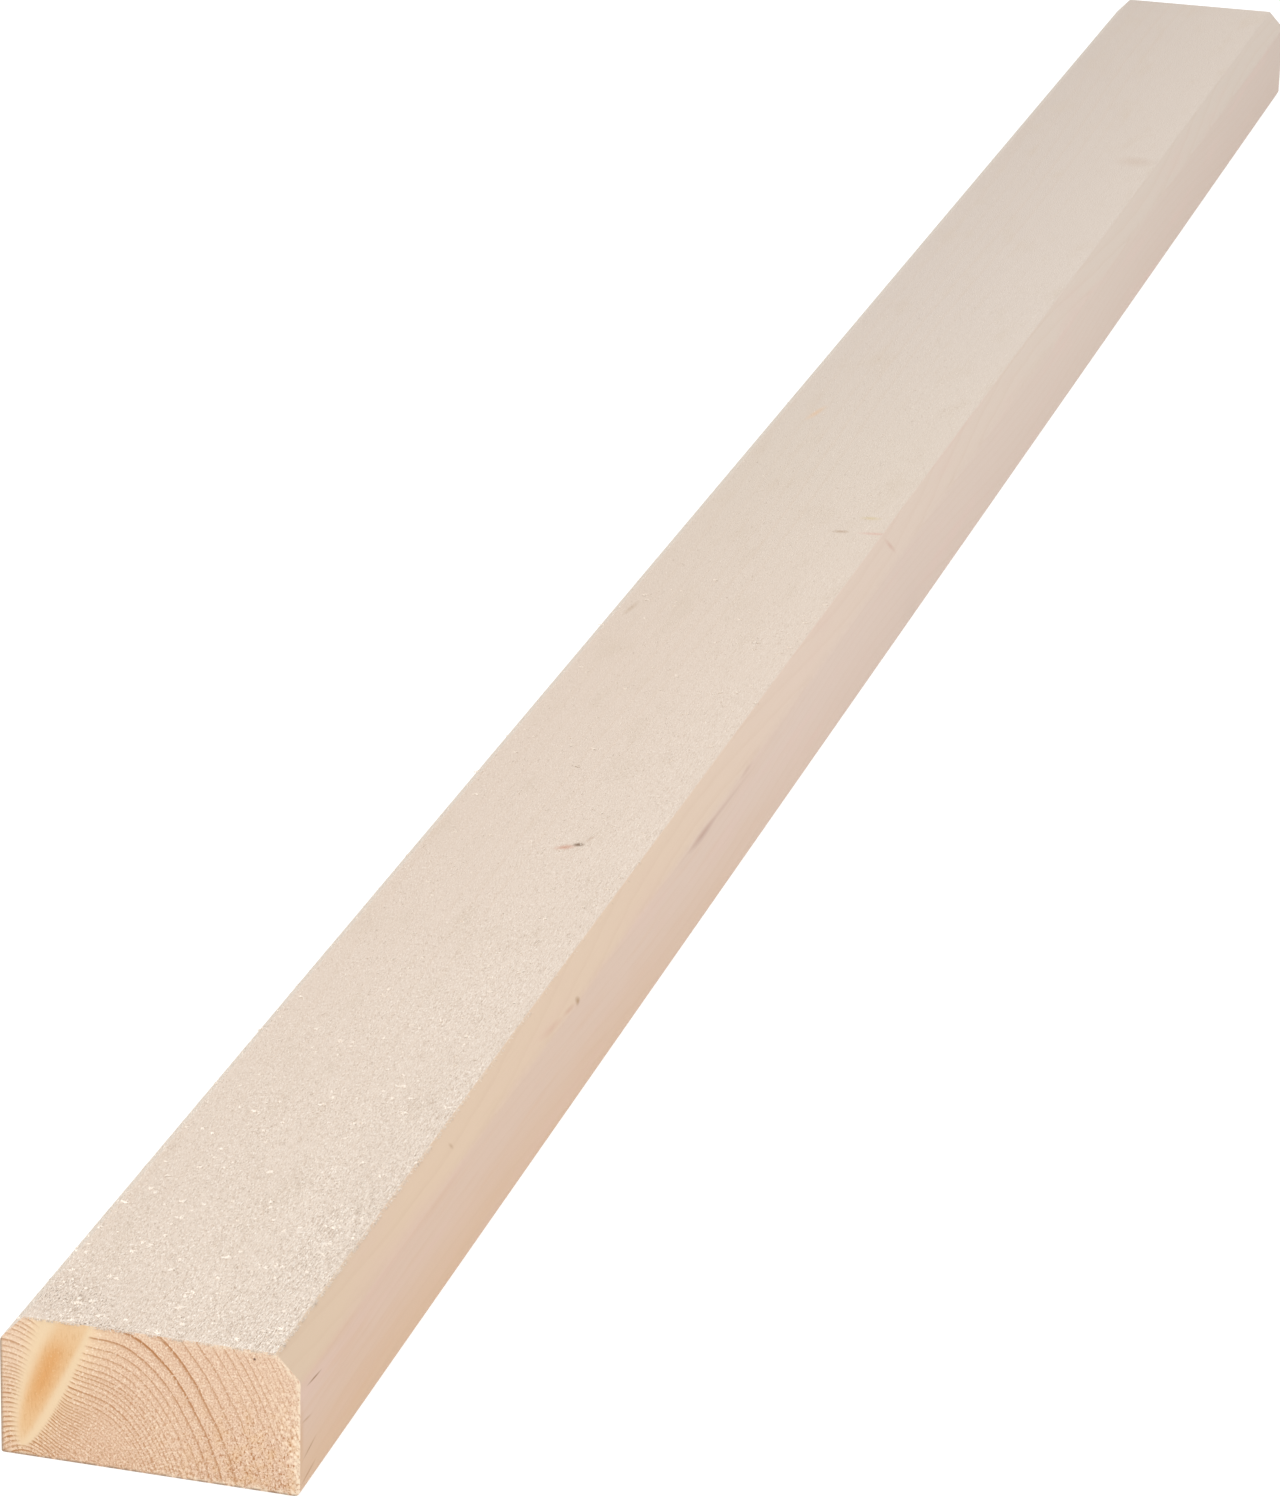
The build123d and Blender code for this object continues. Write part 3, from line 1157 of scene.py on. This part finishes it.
colour = add_marks(tree, colour, top_marks, turn_axis=2)
finish_wood(tree, colour, 0.9, patches(tree, (1.3, 0.5, 0.5), 0.2, 0.8, 5.0), 0.12)

# %% [markdown]
# The planer cut the other faces clean, so they keep the colour of fresh spruce: warmer, and
# yellower where the bevel cuts the rings flat. The rings show as very faint lines along the
# length, and the surface has a dull sheen. Low down the side is more orange, most of all near
# the knot end.

# %% Finish: planed spruce
planed, tree = new_finish("planed_spruce")
place = add(tree, "SeparateXYZ", {0: add(tree, "TexCoord").outputs["Object"]})
height = place.outputs["Z"]
along_share = add(tree, "MapRange", between(place.outputs["X"], knot_end_x, far_end_x))
near_part = {"Value": along_share, "From Max": 0.45, "To Min": 1.0, "To Max": 0.0}
near_share = add(tree, "MapRange", near_part)
low = add(tree, "MapRange", between(height, 28, 3), interpolation_type="SMOOTHSTEP")
bevel_limits = between(height, bevel_foot - 2.5, bevel_foot + 1.5)
on_bevel = add(tree, "MapRange", bevel_limits, interpolation_type="SMOOTHSTEP")

planed_tones = [(0, "#D2B5A1"), (0.08, "#D3B7A2"), (0.35, "#D3BDAE"), (0.7, "#CDBBAD"), (1, "#C4B2A5")]
bevel_tones = [
    (0, "#D8BFA5"), (0.08, "#DDC3A9"), (0.24, "#DDC5AE"),
    (0.36, "#DCC6B5"), (0.64, "#D5C5B7"), (0.92, "#CFC1B4"),
]
warm_clouds = patches(tree, (70, 30, 5), 0.45, 0.75, 2.0)
grain_lines = patches(tree, (60, 0.6, 0.6), 0.5, 0.8, 4.0)
pink_clouds = patches(tree, (110, 40, 9), 0.5, 0.8, 6.0)
edge_colour = coats(
    tree, add(tree, "ValToRGB", {"Fac": along_share}, planed_tones),
    ("#D5AE83", 0.6, low, near_share),
    ("#C6AA98", 0.14, low),
    ("#CFA887", 0.35, near_share, warm_clouds),
)
bevel_colour = add(tree, "ValToRGB", {"Fac": along_share}, bevel_tones)
faces = {"Factor": on_bevel, "A": edge_colour, "B": bevel_colour}
colour = coats(
    tree, add(tree, "Mix", faces, data_type="RGBA"),
    ("#BF9C7C", 0.18, ring_line(tree)),
    ("#C7A68A", 0.10, grain_lines),
    ("#D9B6AC", 0.25, pink_clouds),
)
colour = add_marks(tree, colour, side_marks, turn_axis=1)
finish_wood(tree, colour, 0.62, patches(tree, (12, 0.5, 0.5), 0.2, 0.8, 8.0), 0.015)

# %% [markdown]
# The ends show the wood cross-cut: open fibre ends drink in the light, so the colour is deeper
# and more orange than on the faces. It differs over the end. The bent wood beside the knot is
# pale yellow, the corner beyond it is paler still, and low on the right the saw tore brown
# hollows. So the first coats go by where a place is on the end.

# %% Finish: cross-cut spruce, the wood
crosscut, tree = new_finish("crosscut_spruce")
years, round_here, ring_width, near_knot, from_rim, halo, core, heart = stored(
    tree, "years", "round_pith", "ring_width", "beside_knot", "from_rim",
    "knot_halo", "knot_core", "knot_heart",
)
place = add(tree, "SeparateXYZ", {0: add(tree, "TexCoord").outputs["Object"]})
across, height = place.outputs["Y"], place.outputs["Z"]
lower = add(tree, "MapRange", between(height, 42, 14))
rightward = add(tree, "MapRange", between(across, 12, -32))
low_right = add(tree, "Math", {0: lower, 1: rightward}, operation="MULTIPLY")
beyond_knot = add(tree, "MapRange", between(across, 35, 43))
low_edge = add(tree, "MapRange", between(height, 12, 1))
torn = patches(tree, (0.6, 0.6, 0.6), 0.34, 0.66)

warm_clouds = patches(tree, (5, 5, 5), 0.4, 0.7, 1.0)
hollows = patches(tree, (1.1, 0.7, 1.2), 0.54, 0.64, 2.0)
edge_hollows = patches(tree, (0.9, 0.9, 0.9), 0.52, 0.62, 4.0)
torn_tones = {"Factor": torn, "A": linear("#CDA284"), "B": linear("#EBCEB1")}
colour = coats(
    tree, add(tree, "Mix", torn_tones, data_type="RGBA"),
    ("#EFD2AD", 0.85, near_knot),
    ("#F3DECA", 0.25, beyond_knot),
    ("#F7E6D4", 0.1, rightward),
    ("#E2BA8A", 0.45, low_right, warm_clouds),
    ("#A9692F", 0.8, low_right, hollows),
    ("#AF7C50", 0.7, low_edge, edge_hollows),
)

# %% [markdown]
# Over that come the ring lines, clearest where the rings are wide or bend round the knot, and
# broken up low on the right. Torn fibre ends catch the light as cream beads. Where the rings
# are narrow the beads stand in rows, one row to a year. The beads' pattern is therefore drawn
# in the rings' own directions: years across, and millimetres round the pith.

# %% Finish: cross-cut spruce, rings and beads
BEAD_LENGTH = 1.1

line = ring_line(tree)
low_by_knot = add(tree, "Math", {0: near_knot, 1: lower}, operation="MULTIPLY")
knot_line = add(tree, "Math", {0: low_by_knot, 1: 0.55, 2: 0.9}, operation="MULTIPLY_ADD")
knot_fan = add(tree, "MapRange", {"Value": near_knot, "From Min": 0.02, "From Max": 0.2})
wide_ring = add(tree, "MapRange", {"Value": ring_width, "From Min": 1.12, "From Max": 1.25})
clear = add(tree, "Math", {0: knot_fan, 1: wide_ring}, operation="MAXIMUM")
clear_line = add(tree, "Math", {0: clear, 1: 0.6, 2: 0.4}, operation="MULTIPLY_ADD")
loose = add(tree, "Math", {0: low_right, 1: -0.4, 2: 1.0}, operation="MULTIPLY_ADD")

bead_step = add(tree, "Math", {0: round_here, 1: BEAD_LENGTH}, operation="DIVIDE")
bead_place = add(tree, "CombineXYZ", {"X": years, "Y": bead_step})
bead_cells = {"Vector": bead_place, "Scale": 1.0, "Randomness": 0.85}
bead = add(tree, "TexVoronoi", bead_cells, voronoi_dimensions="2D")
bead_limits = {"Value": bead, "From Min": 0.45, "From Max": 0.15}
beads = add(tree, "MapRange", bead_limits, interpolation_type="SMOOTHSTEP")
narrow = add(tree, "MapRange", {"Value": ring_width, "From Min": 2.6, "From Max": 1.6})
away = add(tree, "Math", {0: 1.0, 1: near_knot}, operation="SUBTRACT")
loose_beads = patches(tree, (0.7, 0.7, 0.7), 0.57, 0.66, 9.0)
colour = coats(
    tree, colour,
    ("#AB6F37", 1.0, line, knot_line, clear_line, loose),
    ("#F8E2C8", 0.15, beads, narrow, away),
    ("#FBE6CB", 0.85, beads, narrow, low_right),
    ("#FBE8D0", 0.55, loose_beads),
)

# %% [markdown]
# The last coats are the things that hide the rings: pale wood along the right rim, where the
# fibres broke away, the knot with its border, core and darker heart, painted shade along the
# lowest arris, where the end meets the floor, and a darker line along the leftmost arris. The
# knot's own grain shows as brown and pale flecks.

# %% Finish: cross-cut spruce, knot and rim
rim_limits = {"Value": from_rim, "From Min": 2.6, "From Max": 0.4}
rim = add(tree, "MapRange", rim_limits, interpolation_type="SMOOTHSTEP")
rim_breaks = patches(tree, (1.1, 1.1, 1.1), 0.38, 0.60, 12.0)
brown_flecks = patches(tree, (3, 0.6, 3), 0.5, 0.7, 14.0)
pale_flecks = patches(tree, (0.8, 0.6, 0.8), 0.56, 0.7, 15.0)
# Painted contact shade: broken dark patches along the end's lowest arris, where it meets the floor. The
# leftmost arris only gets a darker line.
shaded_foot = add(tree, "MapRange", between(height, 0.9, 0.2))
dark_left_line = add(tree, "MapRange", between(across, half_width - 1.0, half_width - 0.3))
foot_shade_breaks = patches(tree, (3, 3, 3), 0.3, 0.6, 17.0)
colour = coats(
    tree, colour,
    ("#F2DFC5", 0.8, rim, rightward, rim_breaks),
    ("#E8CDA8", 1.0, halo),
    ("#E2BA8B", 1.0, core),
    ("#DBA266", 1.0, heart),
    ("#C68F53", 0.35, core, brown_flecks),
    ("#EDCC9E", 0.4, core, pale_flecks),
    ("#8F7660", 0.9, shaded_foot, foot_shade_breaks),
    ("#A08873", 0.8, dark_left_line),
)
colour = add_marks(tree, colour, end_marks, turn_axis=1)
finish_wood(tree, colour, 0.85, torn, 0.05)

# %% [markdown]
# A single torn fibre is thin and pale, and lets some light through. In the mass some look
# bright and some dull, so each spike has a tone of its own, from the dark of the painted shadow
# beside a tuft to the near white of a fresh tuft.

# %% Finish: torn fibres
fibre, tree = new_finish("torn_spruce_fibre")
tone, = stored(tree, "tone")
# The darkest tones, near 0, are mostly painted shadow, for the flat spikes beside the tufts.
fibre_tones = [(0, "#9A846F"), (0.06, "#C6B4A1"), (0.5, "#DDCFC0"), (0.85, "#F3E8DB"), (1, "#FFF6EA")]
colour = add(tree, "ValToRGB", {"Fac": tone}, fibre_tones)
finish_wood(tree, colour, 0.85, patches(tree, (1.0, 0.3, 0.3), 0.3, 0.7), 0.02)

for material in (sawn, planed, crosscut):
    body.data.materials.append(material)
for piece in fibre_pieces:
    piece.data.materials.append(fibre)
